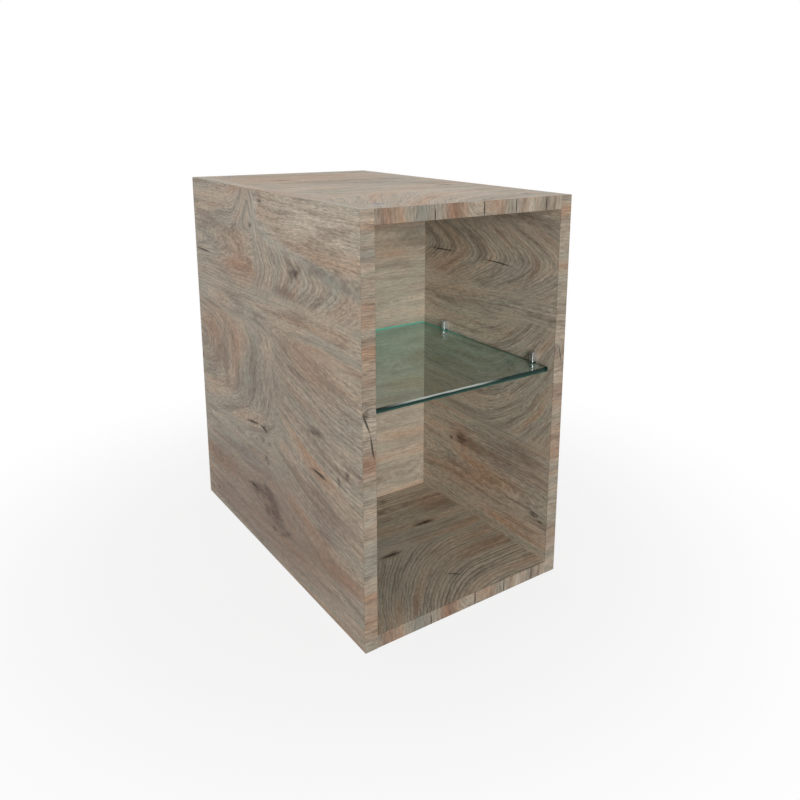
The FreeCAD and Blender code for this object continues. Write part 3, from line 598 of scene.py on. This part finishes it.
def dress_glass(name):
    """Clear faces, and edges painted with the green that light inside the glass gives them, a painted glow:
    bright at the rear, darker to the sides and in front, with painted highlights.
    """
    low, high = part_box(name)
    data = nodes[name].data
    data.materials.clear()
    # Painted light: jade and teal are a painted glow, black and dark are painted darkness, and the near-white
    # in front is a painted reflection of a lamp.
    black, dark, jade, teal = srgb(3, 34, 26), srgb(26, 74, 64), srgb(40, 190, 166), srgb(60, 226, 204)
    faces, front, rear, sides = range(4)
    data.materials.append(glass_material())
    data.materials.append(glass_edge_material(
        "glass_front_edge", dark, black, painted_gleam=srgb(170, 176, 170), along=0,
        gleam_from=85, gleam_to=35, gleam_middle=-30, gleam_rise=3.6))
    data.materials.append(glass_edge_material(
        "glass_rear_edge", jade, teal, painted_gleam=teal, along=0,
        gleam_from=85, gleam_to=35, gleam_middle=0, gleam_rise=3.6))
    data.materials.append(glass_edge_material(
        "glass_side_edge", dark, dark, painted_gleam=jade, along=1,
        gleam_from=150, gleam_to=10, gleam_middle=MILLIMETRES * high.y, gleam_rise=-6.0))
    for polygon in data.polygons:
        if abs(polygon.normal.z) > LEVEL_NORMAL:
            polygon.material_index = faces
        elif abs(polygon.normal.x) > abs(polygon.normal.y):
            polygon.material_index = sides
        else:
            polygon.material_index = front if polygon.center.y < (low.y + high.y) / 2 else rear


dress_glass("glass_shelf")


def metal_material(name, colour, roughness, spread, scale, depth, metallic=1.0):
    """Metal whose polish varies a little from place to place."""
    material, g = new_material(name)
    point = object_point(g)
    fine = g.noise(g.vector("MULTIPLY", point, (1 / scale,) * 3), 3.0)
    coarse = g.noise(g.vector("MULTIPLY", point, (0.2 / scale,) * 3), 2.0)
    darker = tuple(0.86 * value for value in colour[:3]) + (1.0,)
    tint = g.blend(coarse, colour, darker)
    rough = g.math("MULTIPLY_ADD", fine, spread, roughness)
    bump = g.node("Bump", {"Strength": 0.15, "Distance": depth, "Height": fine}).outputs[0]
    shader = g.node("BsdfPrincipled", {"Base Color": tint, "Metallic": metallic, "Roughness": rough,
                                       "Normal": bump})
    finish_material(g, shader.outputs[0])
    return material


def matte_material(name, light, dark, roughness, scale, depth):
    """A soft or moulded material with a fine mottle."""
    material, g = new_material(name)
    point = object_point(g)
    mottle = g.noise(g.vector("MULTIPLY", point, scale), 3.0)
    colour = g.ramp(mottle, (0.35, dark), (0.65, light))
    bump = g.node("Bump", {"Strength": 0.3, "Distance": depth, "Height": mottle}).outputs[0]
    rough = g.math("MULTIPLY_ADD", mottle, 0.15, roughness)
    shader = g.node("BsdfPrincipled", {"Base Color": colour, "Roughness": rough, "Normal": bump})
    finish_material(g, shader.outputs[0])
    return material


places = [f"{place}_{side}" for place in ("front", "rear") for side in ("left", "right")]
cam_names = [f"{level}_{place}_cam" for level in ("top", "bottom") for place in places]
dress([f"{place}_clip" for place in places],
      metal_material("clip_chrome", srgb(214, 215, 214), roughness=0.18, spread=0.1, scale=2.0,
                     depth=0.00002, metallic=0.85))
dress([f"{place}_clamp_screw" for place in places],
      metal_material("screw_steel", srgb(168, 168, 166), roughness=0.22, spread=0.15, scale=0.6,
                     depth=0.00003))
dress(cam_names,
      metal_material("cam_zinc", srgb(134, 137, 147), roughness=0.35, spread=0.2, scale=0.8, depth=0.00005))
dress(["cam_bolts"],
      metal_material("bolt_steel", srgb(190, 186, 172), roughness=0.3, spread=0.15, scale=0.7, depth=0.00004))
dress([f"{place}_clip_pad" for place in places],
      matte_material("soft_pad", light=srgb(214, 214, 208), dark=srgb(190, 190, 184), roughness=0.45,
                     scale=(1.2, 1.2, 1.2), depth=0.00003))
dress([f"{place}_clamp_tip" for place in places],
      matte_material("nylon_tip", light=srgb(232, 230, 222), dark=srgb(212, 208, 198), roughness=0.4,
                     scale=(1.5, 1.5, 1.5), depth=0.00002))
dress(["panel_dowels", "back_panel_dowels"],
      matte_material("dowel_beech", light=srgb(214, 180, 140), dark=srgb(188, 150, 110), roughness=0.6,
                     scale=(0.15, 0.9, 0.9), depth=0.0001))


# Studio: a pale floor that whitens away from the unit, a white surround and five large lamps, in metres.
WHITE = (1.0, 1.0, 1.0, 1.0)
WHITENING_FROM, WHITENING_TO, WHITE_NEAR = 0.25, 0.7, 0.84
FLOOR_GAP = 0.0005


def seen_rays(g):
    """1 for rays from the camera, also by way of a reflection or the glass."""
    path = g.node("LightPath")
    seen = g.math("MAXIMUM", path.outputs["Is Camera Ray"], path.outputs["Is Glossy Ray"])
    return g.math("MAXIMUM", seen, path.outputs["Is Transmission Ray"])


def floor_material():
    """Pale and matt, with a light shadow under the unit, and white further out."""
    material, g = new_material("studio_floor")
    place = g.node("TexCoord").outputs["Object"]
    mottle = g.noise(g.vector("MULTIPLY", place, (3.0, 3.0, 3.0)), 2.0)
    colour = g.ramp(mottle, (0.3, srgb(188, 188, 188)), (0.7, srgb(194, 194, 194)))
    diffuse = g.node("BsdfDiffuse", {"Color": colour})
    white = g.node("Emission", {"Color": WHITE, "Strength": 1.0})
    far = g.smooth(g.vector("LENGTH", place), WHITENING_FROM, WHITENING_TO, WHITE_NEAR, 1.0)
    mixed = g.node("MixShader", {0: g.math("MULTIPLY", far, seen_rays(g)), 1: diffuse.outputs[0],
                                 2: white.outputs[0]})
    finish_material(g, mixed.outputs[0])
    return material


def make_floor(half_size):
    mesh = bpy.data.meshes.new("studio_floor")
    corners = [(x * half_size, y * half_size, 0.0) for x, y in ((-1, -1), (1, -1), (1, 1), (-1, 1))]
    mesh.from_pydata(corners, [], [(0, 1, 2, 3)])
    mesh.materials.append(floor_material())
    floor = bpy.data.objects.new("studio_floor", mesh)
    floor.location.z = -FLOOR_GAP
    bpy.context.scene.collection.objects.link(floor)


def make_world(strength):
    world = bpy.data.worlds.new("studio_surround")
    bpy.context.scene.world = world
    world.use_nodes = True
    world.node_tree.nodes.clear()
    g = Graph(world.node_tree)
    light = g.node("Background", {"Color": WHITE, "Strength": strength})
    white = g.node("Background", {"Color": WHITE, "Strength": 1.0})
    mixed = g.node("MixShader", {0: seen_rays(g), 1: light.outputs[0], 2: white.outputs[0]})
    g.node("OutputWorld", {"Surface": mixed.outputs[0]})


def make_lamp(name, location, target, width, height, power):
    data = bpy.data.lights.new(name, "AREA")
    data.shape = "RECTANGLE"
    data.size, data.size_y = width, height
    data.energy = power
    lamp = bpy.data.objects.new(name, data)
    lamp.location = location
    lamp.rotation_mode = "QUATERNION"
    lamp.rotation_quaternion = (Vector(target) - Vector(location)).to_track_quat("-Z", "Y")
    bpy.context.scene.collection.objects.link(lamp)


make_floor(half_size=12.0)
make_world(strength=0.25)
make_lamp("overhead", (0.1, 0.2, 2.2), target=(0.0, 0.0, 0.48), width=1.6, height=1.6, power=8.4)
make_lamp("front", (-1.4, -3.8, 1.1), target=(0.0, 0.0, 0.25), width=1.8, height=1.8, power=116.0)
make_lamp("left", (-1.0, -0.2, 1.5), target=(-0.1, 0.0, 0.3), width=1.0, height=1.0, power=3.8)
# These two are low strips, so that they light the right side and the rear and leave the top alone.
make_lamp("right", (1.9, 0.3, 0.24), target=(0.1, 0.05, 0.24), width=1.4, height=0.44, power=13.0)
make_lamp("rear", (0.5, 2.4, 0.24), target=(0.0, 0.2, 0.24), width=1.6, height=0.44, power=24.0)


def make_camera(place, turn, drop, roll, lens, shift):
    """A camera at a place in metres, turned about the upright, dropped below level and rolled, in degrees."""
    data = bpy.data.cameras.new("camera")
    data.lens = lens
    data.sensor_width = 36.0
    data.shift_x, data.shift_y = shift
    camera = bpy.data.objects.new("camera", data)
    turned = Matrix.Rotation(math.radians(turn), 4, "Z")
    tilted = Matrix.Rotation(math.radians(90 - drop), 4, "X")
    rolled = Matrix.Rotation(math.radians(roll), 4, "Z")
    camera.matrix_world = Matrix.Translation(place) @ turned @ tilted @ rolled
    bpy.context.scene.collection.objects.link(camera)
    bpy.context.scene.camera = camera


# The photograph's viewpoint, with part of its lens shift.
make_camera(place=(-0.5159, -0.85932, 0.5663), turn=-35.813, drop=13.044, roll=0.474,
            lens=34.957, shift=(-0.0349, -0.13))
bpy.context.scene.view_settings.view_transform = "Standard"
